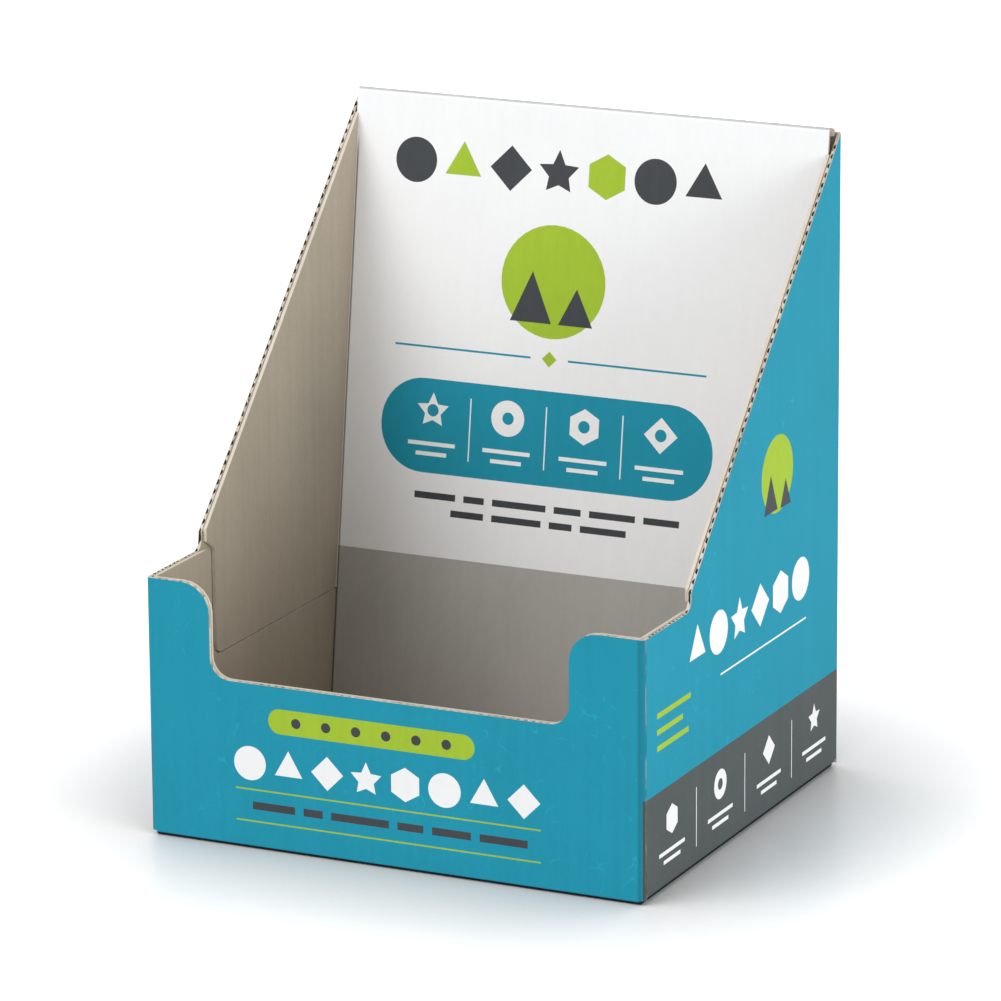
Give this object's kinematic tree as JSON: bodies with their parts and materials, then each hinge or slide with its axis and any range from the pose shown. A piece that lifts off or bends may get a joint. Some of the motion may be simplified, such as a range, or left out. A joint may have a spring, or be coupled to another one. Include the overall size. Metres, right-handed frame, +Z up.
{
  "type": "counter display box",
  "caption": "Open-front corrugated counter display box with low cut-out front, sloping sides and a leaning header panel, for standing small packs on a counter.",
  "frame": {"origin": "centre of the underside", "axes": "+Z up; the cut-out front faces -Y; +X is to the right of someone facing the front"},
  "size_m": [0.23, 0.207, 0.2868],
  "materials": {
    "printed_board": "teal print on fine fluted board, matt varnish, raw grey-brown inside",
    "raw_board": "unprinted grey-brown board, matt",
    "white_board": "white printed header with raw grey-brown wings, satin to matt"
  },
  "bodies": {
    "root": {"outer_box": "printed_board", "front_liner": "raw_board", "header_liner": "white_board"}
  },
  "joints": []
}
